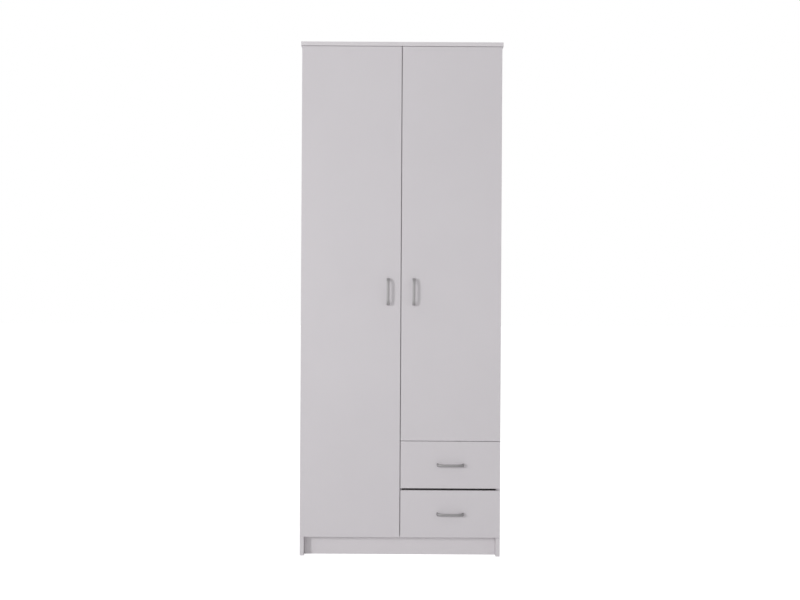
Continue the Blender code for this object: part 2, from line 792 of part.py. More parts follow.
def make_drawer(label, front_bottom, finishes):
    """Drawer front, grooved sides, back, bottom sheet, handle and its two runners."""
    white = finishes["drawer_melamine"]
    enamel = finishes["runner_enamel"]
    bottom = front_bottom + DRAWER_BOX_RAISE
    start = DOOR_BACK + TOUCH
    end = start + DRAWER_DEPTH
    middle_x = (FRONT_INNER_X + FRONT_OUTER_X) / 2
    middle_z = front_bottom + DRAWER_FRONT_HEIGHT / 2
    axis = make_axis(f"{label}_axis", (middle_x, DOOR_FRONT, middle_z))
    make_board(
        f"{label}_front",
        (FRONT_INNER_X, DOOR_FRONT, front_bottom),
        (FRONT_OUTER_X, DOOR_BACK, front_bottom + DRAWER_FRONT_HEIGHT),
        finishes["white_melamine"],
        axis,
    )
    box_left = BOARD / 2 + RUNNER_SPACE
    box_right = INNER_X - RUNNER_SPACE
    for side, face, outside, inward in (
        ("left", BOARD / 2, box_left, 1),
        ("right", INNER_X, box_right, -1),
    ):
        inside = outside + inward * DRAWER_BOARD
        outline = grooved_outline(inside, outside, bottom)
        shape = prism_shape(outline, start, end, along_depth)
        centre = ((inside + outside) / 2, (start + end) / 2, bottom + DRAWER_BOX_HEIGHT / 2)
        make_piece(f"{label}_{side}_side", shape, white, centre, axis)
        fixed, moving = runner_shapes(face, outside, inward, bottom, start)
        make_piece(f"{label}_{side}_cabinet_runner", fixed, enamel, (face, start, bottom), smooth=True)
        make_piece(
            f"{label}_{side}_drawer_runner", moving, enamel, (outside, start, bottom), axis, smooth=True
        )
    inner_left = box_left + DRAWER_BOARD
    inner_right = box_right - DRAWER_BOARD
    sheet_bottom = bottom + DRAWER_BOTTOM_RAISE
    back_bottom = sheet_bottom + SHEET + TOUCH
    make_board(
        f"{label}_back",
        (inner_left + TOUCH, end - DRAWER_BOARD, back_bottom),
        (inner_right - TOUCH, end, bottom + DRAWER_BOX_HEIGHT),
        white,
        axis,
    )
    tongue = GROOVE_DEPTH - TOUCH
    make_board(
        f"{label}_bottom",
        (inner_left - tongue, start + TOUCH, sheet_bottom),
        (inner_right + tongue, end, sheet_bottom + SHEET),
        white,
        axis,
    )
    make_handle(f"{label}_handle", middle_x, middle_z, False, axis, finishes)


def main():
    clear_scene()
    finishes = make_finishes()
    make_carcass(finishes)
    make_shelves(finishes)
    make_rail(finishes)
    make_door("left_door", -1, FRONTS_BOTTOM, finishes)
    make_door("right_door", 1, RIGHT_DOOR_BOTTOM, finishes)
    make_drawer("lower_drawer", FRONTS_BOTTOM, finishes)
    make_drawer("upper_drawer", UPPER_FRONT_BOTTOM, finishes)


main()
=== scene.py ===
"""Looks of the wardrobe: surfaces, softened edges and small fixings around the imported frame.

Metres, in the frame's own axes: the front faces -Y, +X is to the right, the floor is at z = 0.
"""

import math

import bmesh
import bpy
from mathutils import Matrix, Vector


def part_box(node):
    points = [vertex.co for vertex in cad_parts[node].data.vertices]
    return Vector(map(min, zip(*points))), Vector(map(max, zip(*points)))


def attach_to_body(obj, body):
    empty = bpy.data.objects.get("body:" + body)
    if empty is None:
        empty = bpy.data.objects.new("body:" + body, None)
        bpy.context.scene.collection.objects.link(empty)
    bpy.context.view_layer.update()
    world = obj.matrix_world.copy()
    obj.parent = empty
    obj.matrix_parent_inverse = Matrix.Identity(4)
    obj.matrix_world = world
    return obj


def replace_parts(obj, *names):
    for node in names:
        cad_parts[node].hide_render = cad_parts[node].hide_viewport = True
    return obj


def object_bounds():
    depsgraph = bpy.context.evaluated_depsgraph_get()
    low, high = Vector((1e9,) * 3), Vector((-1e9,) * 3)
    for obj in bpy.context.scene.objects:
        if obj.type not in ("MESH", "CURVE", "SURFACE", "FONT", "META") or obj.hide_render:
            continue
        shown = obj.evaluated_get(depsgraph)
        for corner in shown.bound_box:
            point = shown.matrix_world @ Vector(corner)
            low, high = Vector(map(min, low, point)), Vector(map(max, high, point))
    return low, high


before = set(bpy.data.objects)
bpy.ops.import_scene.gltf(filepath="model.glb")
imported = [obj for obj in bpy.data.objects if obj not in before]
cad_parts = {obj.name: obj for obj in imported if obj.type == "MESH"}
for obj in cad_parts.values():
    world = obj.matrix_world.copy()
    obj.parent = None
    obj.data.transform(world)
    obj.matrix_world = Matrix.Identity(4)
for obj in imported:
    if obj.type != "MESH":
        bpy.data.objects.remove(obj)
cad_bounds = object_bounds()

X, Y, Z = Vector((1, 0, 0)), Vector((0, 1, 0)), Vector((0, 0, 1))

# The number with each name is the direction along X from that side to the middle of the wardrobe.
DOORS = {"left_door": 1, "right_door": -1}
SIDES = {"left": 1, "right": -1}
DRAWERS = ("lower_drawer", "upper_drawer")
HINGE_PLACES = ("lower", "middle", "upper")
LOOSE_SHELVES = ("shelf_1", "shelf_2", "shelf_3")

WHITE = (0.800, 0.766, 0.797)
BAND_WHITE = (0.828, 0.798, 0.826)
# Painted light: a lighter white than the boards' own, standing in for light on the top panel's front
# edge and on the recessed kickboard.
PAINTED_LIGHT_WHITE = (0.852, 0.820, 0.845)
INSIDE_WHITE = (0.770, 0.755, 0.760)
EPOXY_WHITE = (0.80, 0.80, 0.785)
CHIPBOARD = (0.46, 0.33, 0.20)
HARDBOARD = (0.37, 0.235, 0.130)
DOOR_HANDLE = (0.50, 0.486, 0.495)
# Painted shade: the drawer handles are the same metal as the door handles, painted darker for the
# shadow that falls under a level bar.
DRAWER_HANDLE_PAINTED_SHADE = (0.44, 0.427, 0.436)
HINGE_STEEL = (0.66, 0.655, 0.63)
NAIL_STEEL = (0.42, 0.43, 0.45)
ZINC = (0.70, 0.70, 0.69)
CHROME = (0.74, 0.74, 0.75)
BARE_STEEL = (0.42, 0.42, 0.42)
SOCKET_PLASTIC = (0.80, 0.80, 0.79)
CAP_PLASTIC = (0.79, 0.78, 0.78)
BUFFER_PLASTIC = (0.62, 0.62, 0.60)
WHEEL_NYLON = (0.74, 0.74, 0.72)

# How CAD meshes are cleaned and softened: the merge distance in metres, angles in degrees.
WELD_DISTANCE = 0.000005
FLAT_WITHIN = 0.5
SOFTEN_ABOVE = 38

# Radii of softened edges.
OUTER_EDGE = 0.0005
INNER_EDGE = 0.0007
FOIL_EDGE = 0.0012
BACK_SHEET_EDGE = 0.0003
DRAWER_SHEET_EDGE = 0.0002
RUNNER_EDGE = 0.00025
HINGE_EDGE = 0.00018
RAIL_EDGE = 0.0002
SOCKET_EDGE = 0.0004

# The hairline between a board's edge band and its face, by its distance from the board's edge.
JOINT_START, JOINT_END, JOINT_SOFTNESS = 0.00085, 0.00130, 0.00015

# Shelf pins and their holes: each shelf has a ladder of holes, and its pins fill the middle ones,
# whose axes are PIN_DROP below the shelf.
PIN_DROP = 0.0025
PIN_HOLE_RADIUS = 0.0025
PIN_HOLE_DEPTH = 0.010
PIN_HOLE_PITCH = 0.032
PIN_HOLE_STEPS = (-2, -1, 0, 1, 2)
PIN_FRONT_INSET, PIN_BACK_INSET = 0.090, 0.100

# Small fittings: radius and height of the head or disc that shows. The numbers that turn a recess
# about its own axis, further down, only keep the fittings from all pointing the same way.
HANDLE_SCREW = (0.0044, 0.0020)
WOOD_SCREW = (0.0036, 0.0017)
ADJUSTING_SCREW = (0.0032, 0.0011)
LINK_RIVET = (0.0023, 0.0006)
CABINET_RUNNER_SCREW = (0.0030, 0.0010)
DRAWER_RUNNER_SCREW = (0.0026, 0.0007)
DRAWER_BACK_SCREW = (0.0034, 0.0004)
SHELF_CAM = (0.0074, 0.0005)
DRAWER_CAM = (0.0062, 0.0004)
CAM_CAP = (0.0085, 0.0009)
NAIL = (0.0024, 0.0003)
DOOR_BUFFER = (0.0028, 0.0016)
DRAWER_BUFFER = (0.0040, 0.0016)

# Handles: a bar whose outline and section are both superellipses.
BAR_THICKNESS = 0.0046
FOOT_LENGTH = 0.0066
WAIST_SHARE = 0.80
BOW_SQUARENESS = 4.0
SECTION_POWER = 0.62
BOW_STEPS, SECTION_STEPS = 72, 20
HANDLE_SCREW_OFFSET = 0.048

# Hinges, from the middle height of the cup and the ends of the arm.
CUP_SCREW_RISE = 0.0215
PLATE_SCREW_RISE = 0.0180
PLATE_THICKNESS = 0.0022
PLATE_SCREW_SETBACK = 0.025
LINK_PIN_INSET = 0.0030
RIVET_RISE = 0.0063
ADJUSTER_SETBACKS = (0.013, 0.040)

# Buffers on the backs of the fronts.
DOOR_BUFFER_OFF_CENTRE = 0.0050
DOOR_BUFFER_BELOW, DOOR_BUFFER_ABOVE = 0.060, 0.040
DRAWER_BUFFER_INSET = 0.030
DRAWER_BUFFER_SHIFT = -0.001

# Cam fittings and their caps, from the ends of their boards.
CAM_INSET = 0.034
CAM_FRONT, CAM_BACK = 0.060, 0.070
CAP_FRONT, CAP_BACK = 0.120, 0.100
DRAWER_CAM_FRONT, DRAWER_CAM_BELOW, DRAWER_CAM_ABOVE = 0.026, 0.045, 0.028

# Nails of the back sheets, from the sheets' edges.
NAIL_EDGE, NAIL_SEAM = 0.007, 0.0042
NAIL_COLUMN_END, NAIL_COLUMN_PITCH = 0.060, 0.150
NAIL_ROW_END, NAIL_ROW_PITCH = 0.030, 0.110

# Runners: x from the board behind the member, y from its front or back end, z from its lower edge.
CABINET_WEB = 0.0012
FRONT_WHEEL_RADIUS, FRONT_WHEEL_WIDTH = 0.00625, 0.0052
FRONT_WHEEL_PLACE = (0.0059, 0.016, 0.0085)
REAR_WHEEL_RADIUS, REAR_WHEEL_WIDTH = 0.00805, 0.0046
REAR_WHEEL_PLACE = (0.0056, 0.010, 0.0081)
CABINET_SCREW_RISE = 0.0096
CABINET_SCREWS = (0.05, 0.21, 0.40)
DRAWER_LEG = 0.0015
DRAWER_SCREW_RISE = 0.0068
DRAWER_SCREWS = (0.04, 0.19, 0.36)

# Screws through the drawer sides into the back.
BACK_SCREW_SETBACK, BACK_SCREW_BELOW, BACK_SCREW_ABOVE = 0.006, 0.040, 0.030


# ---------------------------------------------------------------- materials


class Surface:
    """A node material around one Principled shader, in the object's own coordinates."""

    def __init__(self, name, metallic=0.0, roughness=0.5):
        self.material = bpy.data.materials.new(name)
        self.material.use_nodes = True
        self.tree = self.material.node_tree
        self.shader = self.tree.nodes["Principled BSDF"]
        self.shader.inputs["Metallic"].default_value = metallic
        self.shader.inputs["Roughness"].default_value = roughness
        self.coords = self.node("ShaderNodeTexCoord").outputs["Object"]

    def node(self, kind, inputs=None, **settings):
        made = self.tree.nodes.new(kind)
        for key, value in settings.items():
            setattr(made, key, value)
        for key, value in (inputs or {}).items():
            self.feed(made.inputs[key], value)
        return made

    def feed(self, socket, value):
        """Links a socket to another socket, or sets it to a plain value."""
        if isinstance(value, bpy.types.NodeSocket):
            self.tree.links.new(value, socket)
        else:
            socket.default_value = value

    def noise(self, scale, detail=2.0, stretch=(1, 1, 1)):
        """Noise from 0 to 1. A small stretch along an axis makes long features along it."""
        mapping = self.node("ShaderNodeMapping", {"Vector": self.coords, "Scale": stretch})
        texture = self.node(
            "ShaderNodeTexNoise",
            {"Vector": mapping.outputs[0], "Scale": scale, "Detail": detail},
        )
        return texture.outputs["Fac"]

    def maths(self, operation, *values):
        made = self.node("ShaderNodeMath", operation=operation)
        for socket, value in zip(made.inputs, values):
            self.feed(socket, value)
        return made.outputs[0]

    def spread(self, value, low, high, start=0.0, end=1.0):
        """value from start..end, as low..high, held at both ends."""
        made = self.node(
            "ShaderNodeMapRange",
            {"Value": value, "From Min": start, "From Max": end, "To Min": low, "To Max": high},
        )
        return made.outputs["Result"]

    def mix(self, factor, first, second, mode="MIX"):
        """Two colours mixed, each a socket or an RGB tuple."""
        made = self.node("ShaderNodeMix", data_type="RGBA", blend_type=mode)
        for index, value in ((0, factor), (6, first), (7, second)):
            if isinstance(value, tuple):
                value = (*value, 1.0)
            self.feed(made.inputs[index], value)
        return made.outputs[2]

    def shade(self, color, amount):
        """color times amount, which is 1 for no change."""
        gray = self.node("ShaderNodeCombineColor", {"Red": amount, "Green": amount, "Blue": amount})
        return self.mix(1.0, color, gray.outputs[0], "MULTIPLY")

    def facing(self, axis):
        """How far the surface faces along an axis, from -1 to 1."""
        normal = self.node("ShaderNodeNewGeometry").outputs["Normal"]
        local = self.node(
            "ShaderNodeVectorTransform",
            {"Vector": normal},
            vector_type="NORMAL",
            convert_from="WORLD",
            convert_to="OBJECT",
        )
        return self.node("ShaderNodeSeparateXYZ", {"Vector": local.outputs[0]}).outputs[axis]

    def edge_distance(self, low, high, axes):
        """How far a point is inside the nearest edge of a board's face."""
        place = self.node("ShaderNodeSeparateXYZ", {"Vector": self.coords}).outputs
        nearest = None
        for axis in axes:
            for limit in (low[axis], high[axis]):
                gap = self.maths("ABSOLUTE", self.maths("SUBTRACT", place[axis], limit))
                nearest = gap if nearest is None else self.maths("MINIMUM", nearest, gap)
        return nearest

    def color(self, value):
        self.feed(self.shader.inputs["Base Color"], value)
        return self

    def roughness(self, value):
        self.feed(self.shader.inputs["Roughness"], value)
        return self

    def bump(self, height, depth, strength=1.0):
        """Bump of a given depth in metres."""
        made = self.node(
            "ShaderNodeBump", {"Height": height, "Distance": depth, "Strength": strength}
        )
        self.feed(self.shader.inputs["Normal"], made.outputs["Normal"])
        return self


def chipboard_color(surface):
    """Pressed wood chips, for cut edges with no band."""
    chips = surface.spread(surface.noise(260, 4.0), 0.55, 1.2, 0.3, 0.7)
    flakes = surface.spread(surface.noise(900, 2.0), 0.85, 1.1, 0.3, 0.7)
    return surface.shade(surface.shade(CHIPBOARD, chips), flakes)


def board_face_color(surface, white, low, high, wide):
    """Printed white paper with faint clouds and specks, and the hairline beside the edge band."""
    clouds = surface.spread(surface.noise(2.6, 3.0), 0.984, 1.006, 0.3, 0.7)
    specks = surface.spread(surface.noise(1500, 1.0), 0.988, 1.008, 0.35, 0.65)
    face = surface.shade(surface.shade(white, clouds), specks)
    inside = surface.edge_distance(low, high, wide)
    starting = surface.spread(inside, 0.0, 1.0, JOINT_START, JOINT_START + JOINT_SOFTNESS)
    ending = surface.spread(inside, 1.0, 0.0, JOINT_END - JOINT_SOFTNESS, JOINT_END)
    joint = surface.maths("MULTIPLY", starting, ending)
    return surface.shade(face, surface.spread(joint, 1.0, 0.90))


def board_roughness(surface):
    """Satin, a little glossier or duller in patches, with a fine unevenness."""
    patches = surface.spread(surface.noise(7.0, 4.0), 0.36, 0.45, 0.45, 0.75)
    fine = surface.spread(surface.noise(240, 2.0), -0.03, 0.03)
    return surface.maths("ADD", patches, fine)


def melamine(node, white=WHITE, band=BAND_WHITE, raw_below=False):
    """White melamine-faced board with edge bands, and bare chipboard below where there is no band."""
    surface = Surface(f"{node}_melamine")
    low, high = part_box(node)
    size = high - low
    thin = min(range(3), key=lambda axis: size[axis])
    wide = [axis for axis in range(3) if axis != thin]
    face = board_face_color(surface, white, low, high, wide)
    edge = surface.shade(band, surface.spread(surface.noise(420, 2.0), 0.990, 1.006, 0.3, 0.7))
    on_face = surface.spread(surface.maths("ABSOLUTE", surface.facing(thin)), 0.0, 1.0, 0.80, 0.97)
    color = surface.mix(on_face, edge, face)
    rough = board_roughness(surface)
    if raw_below:
        raw = surface.spread(surface.facing(2), 1.0, 0.0, -0.97, -0.80)
        color = surface.mix(raw, color, chipboard_color(surface))
        rough = surface.maths("MAXIMUM", rough, surface.maths("MULTIPLY", raw, 0.85))
    surface.color(color).roughness(rough)
    pearl = surface.noise(1300, 1.5)
    ripple = surface.maths("MULTIPLY", surface.noise(90, 2.0), 0.6)
    surface.bump(surface.maths("ADD", pearl, ripple), 0.00005, 0.5)
    surface.shader.inputs["Specular IOR Level"].default_value = 0.42
    return surface.material


def hardboard():
    """Back sheet: brown fibres behind, white lacquer with a faint screen texture inside."""
    surface = Surface("hardboard_sheet")
    inside = surface.spread(surface.facing(1), 1.0, 0.0, -0.6, -0.2)
    fibres = surface.spread(surface.noise(140, 6.0, (1.0, 1.0, 2.4)), 0.68, 1.30, 0.3, 0.7)
    strands = surface.spread(surface.noise(900, 3.0, (1.0, 1.0, 3.0)), 0.86, 1.12, 0.3, 0.7)
    stains = surface.spread(surface.noise(5.0, 3.0), 0.95, 1.04, 0.3, 0.7)
    brown = surface.shade(surface.shade(surface.shade(HARDBOARD, fibres), strands), stains)
    lacquer = surface.shade(INSIDE_WHITE, surface.spread(surface.noise(3.0, 2.0), 0.98, 1.01))
    surface.color(surface.mix(inside, brown, lacquer))
    rough_back = surface.spread(surface.noise(200, 3.0), 0.60, 0.82)
    smoothing = surface.maths("MULTIPLY", inside, 0.25)
    surface.roughness(surface.maths("SUBTRACT", rough_back, smoothing))
    screen = surface.maths("ADD", surface.noise(1100, 2.0), surface.noise(160, 3.0))
    return surface.bump(screen, 0.00022, 0.6).material


def satin_metal(name, color, along):
    """Satin lacquered metal with fine scratches along an axis, and faint fingermarks."""
    surface = Surface(name, metallic=0.6)
    stretch = [1.0, 1.0, 1.0]
    stretch[along] = 0.03
    lines = surface.noise(4200, 2.0, tuple(stretch))
    marks = surface.noise(55, 4.0)
    tint = surface.spread(lines, 0.90, 1.06, 0.25, 0.75)
    surface.color(surface.shade(surface.shade(color, tint), surface.spread(marks, 0.95, 1.03)))
    base = surface.spread(marks, 0.50, 0.58, 0.3, 0.7)
    surface.roughness(surface.maths("ADD", base, surface.spread(lines, -0.04, 0.05)))
    return surface.bump(lines, 0.00002, 0.5).material


def plated(name, color, glossy, dull):
    """Plated pressed steel: cloudy gloss, tiny pits and a slight yellowing."""
    surface = Surface(name, metallic=1.0)
    clouds = surface.noise(120, 4.0)
    warm = tuple(channel * share for channel, share in zip(color, (1.0, 0.97, 0.90)))
    tinted = surface.mix(surface.spread(clouds, 0.0, 0.6, 0.45, 0.75), color, warm)
    pits = surface.spread(surface.noise(2600, 2.0), 0.94, 1.0, 0.25, 0.45)
    surface.color(surface.shade(tinted, pits))
    surface.roughness(surface.spread(clouds, glossy, dull, 0.3, 0.7))
    return surface.bump(surface.noise(900, 2.0), 0.00002, 0.4).material


def enamel():
    """White epoxy coat on steel, with orange peel and grey rub marks."""
    surface = Surface("runner_epoxy")
    rub = surface.spread(surface.noise(700, 3.0, (1.0, 0.02, 1.0)), 0.0, 0.35, 0.60, 0.78)
    clean = surface.shade(EPOXY_WHITE, surface.spread(surface.noise(30, 3.0), 0.97, 1.01))
    surface.color(surface.mix(rub, clean, BARE_STEEL))
    surface.roughness(surface.spread(surface.noise(60, 2.0), 0.30, 0.45))
    return surface.bump(surface.noise(650, 1.0), 0.00005, 0.5).material


def chrome_tube():
    """Chromed rail with hairline wear where hangers slide."""
    surface = Surface("rail_plating", metallic=1.0)
    hairs = surface.noise(2400, 2.0, (0.02, 1.0, 1.0))
    smears = surface.noise(35, 4.0)
    surface.color(surface.shade(CHROME, surface.spread(smears, 0.93, 1.02)))
    wear = surface.spread(hairs, 0.0, 0.16, 0.55, 0.80)
    surface.roughness(surface.maths("ADD", surface.spread(smears, 0.06, 0.14), wear))
    return surface.bump(hairs, 0.00001, 0.3).material


def moulded(name, color, roughness=0.45):
    """Moulded plastic: fine spark-eroded grain and a faint flow mottle."""
    surface = Surface(name)
    mottle = surface.spread(surface.noise(45, 3.0), 0.96, 1.02)
    surface.color(surface.shade(color, mottle))
    grain = surface.noise(1800, 2.0)
    surface.roughness(surface.spread(grain, roughness - 0.05, roughness + 0.07, 0.3, 0.7))
    return surface.bump(grain, 0.00003, 0.6).material


def drawer_bottom_sheet(node):
    """White-faced thin sheet with a faint linen print."""
    surface = Surface(f"{node}_sheet")
    across = surface.noise(500, 1.0, (1.0, 0.10, 1.0))
    along = surface.noise(500, 1.0, (0.10, 1.0, 1.0))
    linen = surface.maths("ADD", across, along)
    surface.color(surface.shade(INSIDE_WHITE, surface.spread(linen, 0.95, 1.02, 0.7, 1.3)))
    surface.roughness(surface.spread(surface.noise(12, 3.0), 0.42, 0.55))
    return surface.bump(linen, 0.00004, 0.5).material


def bare_chipboard():
    """The inside of a bored hole."""
    surface = Surface("bored_chipboard")
    return surface.color(chipboard_color(surface)).roughness(0.9).material


# ---------------------------------------------------------------- shapes


def turned(profile, sides=28):
    """A closed turned shape about +Z from (radius, height) pairs, first and last on the axis."""
    shape = bmesh.new()
    first = shape.verts.new((0, 0, profile[0][1]))
    last = shape.verts.new((0, 0, profile[-1][1]))
    rings = []
    for radius, height in profile[1:-1]:
        ring = []
        for i in range(sides):
            turn = 2 * math.pi * i / sides
            ring.append(shape.verts.new((radius * math.cos(turn), radius * math.sin(turn), height)))
        rings.append(ring)
    for i in range(sides):
        j = (i + 1) % sides
        shape.faces.new((first, rings[0][i], rings[0][j]))
        shape.faces.new((last, rings[-1][j], rings[-1][i]))
        for upper, lower in zip(rings, rings[1:]):
            shape.faces.new((upper[i], lower[i], lower[j], upper[j]))
    bmesh.ops.recalc_face_normals(shape, faces=shape.faces)
    return shape


def block(low, high):
    """A closed box between two corners."""
    shape = bmesh.new()
    bmesh.ops.create_cube(shape, size=1.0)
    low, high = Vector(low), Vector(high)
    bmesh.ops.scale(shape, vec=high - low, verts=shape.verts)
    bmesh.ops.translate(shape, vec=(low + high) / 2, verts=shape.verts)
    return shape


def combine(first, second, operation="DIFFERENCE"):
    """The Boolean of two closed shapes, as a new shape. Both are used up."""
    objects = []
    for shape in (first, second):
        mesh = bpy.data.meshes.new("operand")
        shape.to_mesh(mesh)
        shape.free()
        objects.append(bpy.data.objects.new("operand", mesh))
        bpy.context.scene.collection.objects.link(objects[-1])
    step = objects[0].modifiers.new("combine", "BOOLEAN")
    step.operation = operation
    step.object = objects[1]
    evaluated = objects[0].evaluated_get(bpy.context.evaluated_depsgraph_get())
    result = bmesh.new()
    result.from_mesh(evaluated.to_mesh())
    evaluated.to_mesh_clear()
    for obj in objects:
        mesh = obj.data
        bpy.data.objects.remove(obj, do_unlink=True)
        bpy.data.meshes.remove(mesh)
    return result


def cross_recess(width, span, depth, top):
    """Cutter for a cross recess whose arms narrow towards its floor."""
    shapes = []
    for turn in (0, math.pi / 2):
        arm = block((-span, -width, top - depth), (span, width, top + depth))
        for vert in arm.verts:
            if vert.co.z < top:
                vert.co.x *= 0.45
                vert.co.y *= 0.55
        bmesh.ops.rotate(arm, verts=arm.verts, matrix=Matrix.Rotation(turn, 3, "Z"))
        shapes.append(arm)
    return combine(shapes[0], shapes[1], "UNION")


def dome_profile(radius, height, rim, steps):
    """A dome's (radius, height) pairs, whose outer edge is at rim times the height."""
    profile = [(0, height)]
    for i in range(1, steps + 1):
        turn = math.pi / 2 * i / steps
        profile.append((radius * math.sin(turn), height * (rim + (1 - rim) * math.cos(turn))))
    return profile + [(radius, 0.0), (0, 0.0)]


def dome(radius, height, sides=24):
    """A low dome on a flat seat, such as a nail, a rivet or a buffer."""
    return turned(dome_profile(radius, height, 0.15, 5), sides)


def screw_head(radius, height):
    """A domed head with a cross recess, its seat at z = 0."""
    recess = cross_recess(radius * 0.13, radius * 0.62, height * 0.7, height)
    return combine(turned(dome_profile(radius, height, 0.25, 6)), recess)


def flat_head(radius, height):
    """A flat head with a cross recess and a softened rim."""
    profile = [(0, height), (radius * 0.88, height), (radius, height * 0.55), (radius, 0), (0, 0)]
    recess = cross_recess(radius * 0.14, radius * 0.60, height * 0.8, height)
    return combine(turned(profile), recess)


def slotted_head(radius, height):
    """A flat head with one straight slot."""
    profile = [(0, height), (radius * 0.90, height), (radius, height * 0.6), (radius, 0), (0, 0)]
    reach, half_slot = radius * 1.1, radius * 0.12
    slot = block((-reach, -half_slot, height * 0.35), (reach, half_slot, height * 2))
    return combine(turned(profile), slot)


def cam_disc(radius, height):
    """A cam fitting seen in its bore: a thin collar, a cross recess and an arrow notch."""
    floor = height * 0.55
    profile = [
        (0, floor),
        (radius * 0.80, floor),
        (radius * 0.84, height),
        (radius * 0.95, height),
        (radius, height * 0.5),
        (radius, 0),
        (0, 0),
    ]
    recess = cross_recess(radius * 0.12, radius * 0.5, height * 0.4, floor)
    half_notch = radius * 0.08
    notch = block((radius * 0.62, -half_notch, height * 0.25), (radius * 1.2, half_notch, height * 2))
    return combine(combine(turned(profile, 36), recess), notch)


def cover_cap(radius, height):
    """A push-in plastic cap with a soft rim."""
    profile = [
        (0, height * 0.92),
        (radius * 0.70, height * 0.92),
        (radius * 0.86, height),
        (radius * 0.96, height * 0.75),
        (radius, height * 0.3),
        (radius, 0),
        (0, 0),
    ]
    return turned(profile, 36)


def shelf_pin():
    """A peg along Z that is outside the board above z = 0, with a collar and a ribbed tongue."""
    peg, collar, collar_height, peg_depth = 0.0024, 0.0036, 0.0008, 0.008
    profile = [(0, collar_height), (collar, collar_height), (collar, 0), (peg, 0), (peg, -peg_depth)]
    stem = turned(profile + [(0, -peg_depth)])
    root, underside, reach, half_width, softening = 0.0002, 0.0009, 0.0105, 0.0045, 0.0004
    tongue = block((underside, -half_width, root), (peg, half_width, reach))
    bmesh.ops.bevel(
        tongue, geom=tongue.edges[:], offset=softening, segments=2, affect="EDGES", profile=0.5
    )
    rib_low, rib_tip, rib_high, rib_reach, rib_half_width = -0.0022, 0.0004, 0.0014, 0.0080, 0.0008
    rib = block((rib_low, -rib_half_width, root), (rib_high, rib_half_width, rib_reach))
    for vert in rib.verts:
        if vert.co.z > rib_reach / 2 and vert.co.x < 0:
            vert.co.x = rib_tip
    return combine(combine(stem, tongue, "UNION"), rib, "UNION")


def roller(radius, width):
    """A nylon wheel about +Z: rounded tread, sunk web and a small hub."""
    half = width / 2
    web = half - 0.0006
    round_off = 0.0007
    hub = [(0, half), (radius * 0.22, half), (radius * 0.26, web), (radius * 0.72, web)]
    tread = [(radius * 0.78, half), (radius - round_off, half), (radius, half - round_off)]
    upper = hub + tread
    lower = [(r, -z) for r, z in reversed(upper)]
    return turned(upper + lower, 40)


def aim(point, normal, spin=0.0):
    """Places a shape whose seat is at z = 0 on a point, with +Z along a normal."""
    turn = Z.rotation_difference(Vector(normal)).to_matrix().to_4x4()
    return Matrix.Translation(Vector(point)) @ turn @ Matrix.Rotation(spin, 4, "Z")


def finished_object(name, shape, material, sharp=35):
    """A shape as an object of the scene, smooth except at its sharp edges. The shape is used up."""
    mesh = bpy.data.meshes.new(name)
    shape.to_mesh(mesh)
    shape.free()
    mesh.materials.append(material)
    mesh.shade_smooth()
    mesh.set_sharp_from_angle(angle=math.radians(sharp))
    obj = bpy.data.objects.new(name, mesh)
    bpy.context.scene.collection.objects.link(obj)
    return obj


def joined_object(name, template, places, material):
    """Copies of a template shape at each place, as one object. The template can be used again."""
    source = bpy.data.meshes.new(name)
    template.to_mesh(source)
    joined = bmesh.new()
    for place in places:
        copy = source.copy()
        copy.transform(place)
        joined.from_mesh(copy)
        bpy.data.meshes.remove(copy)
    bpy.data.meshes.remove(source)
    return finished_object(name, joined, material)


def attach(obj, body):
    """Makes a piece ride on a body."""
    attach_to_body(obj, body)
    return obj


def scatter(name, template, places, material, body):
    """Copies of a template shape at each place, as one piece that rides on a body."""
    return attach(joined_object(name, template, places, material), body)


def face_x(node, toward):
    """The x of a node's face that looks along +X, or along -X where toward is negative."""
    low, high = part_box(node)
    return high.x if toward > 0 else low.x


def row(start, end, spacing):
    """Evenly spaced places from start to end, about spacing apart."""
    count = max(2, round((end - start) / spacing) + 1)
    return [start + (end - start) * i / (count - 1) for i in range(count)]


# ---------------------------------------------------------------- CAD nodes


def dress(node, material, radius, segments=3):
    """Gives a CAD node its material and softens its edges with modifiers."""
    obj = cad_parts[node]
    mesh = obj.data
    mesh.materials.clear()
    mesh.materials.append(material)
    normals = mesh.attributes.get("custom_normal")
    if normals:
        mesh.attributes.remove(normals)
    mesh.shade_smooth()
    weld = obj.modifiers.new("weld", "WELD")
    weld.merge_threshold = WELD_DISTANCE
    flat = obj.modifiers.new("flat", "DECIMATE")
    flat.decimate_type = "DISSOLVE"
    flat.angle_limit = math.radians(FLAT_WITHIN)
    bevel = obj.modifiers.new("edges", "BEVEL")
    bevel.width = radius
    bevel.segments = segments
    bevel.limit_method = "ANGLE"
    bevel.angle_limit = math.radians(SOFTEN_ABOVE)
    weights = obj.modifiers.new("normals", "WEIGHTED_NORMAL")
    weights.mode = "FACE_AREA_WITH_ANGLE"


def dress_boards():
    """Carcass, shelves, door panels and drawer fronts in white melamine."""
    # Painted highlight: the top panel's front edge band is a lighter white than the other bands, for
    # light from above.
    dress("top_panel", melamine("top_panel", WHITE, PAINTED_LIGHT_WHITE), OUTER_EDGE)
    # Painted light: the kickboard's face and band are a lighter white, standing in for the light that
    # reaches its recess.
    dress("kickboard", melamine("kickboard", PAINTED_LIGHT_WHITE, PAINTED_LIGHT_WHITE, raw_below=True), OUTER_EDGE)
    for node in ("left_side_panel", "right_side_panel"):
        dress(node, melamine(node, raw_below=True), OUTER_EDGE)
    for node in ("bottom_panel", "centre_partition", "hat_shelf", "drawer_deck") + LOOSE_SHELVES:
        dress(node, melamine(node), INNER_EDGE)
    for node in [f"{door}_panel" for door in DOORS] + [f"{drawer}_front" for drawer in DRAWERS]:
        dress(node, melamine(node), OUTER_EDGE)
    sheet = hardboard()
    for node in ("back_panel_left", "back_panel_right"):
        dress(node, sheet, BACK_SHEET_EDGE, 1)


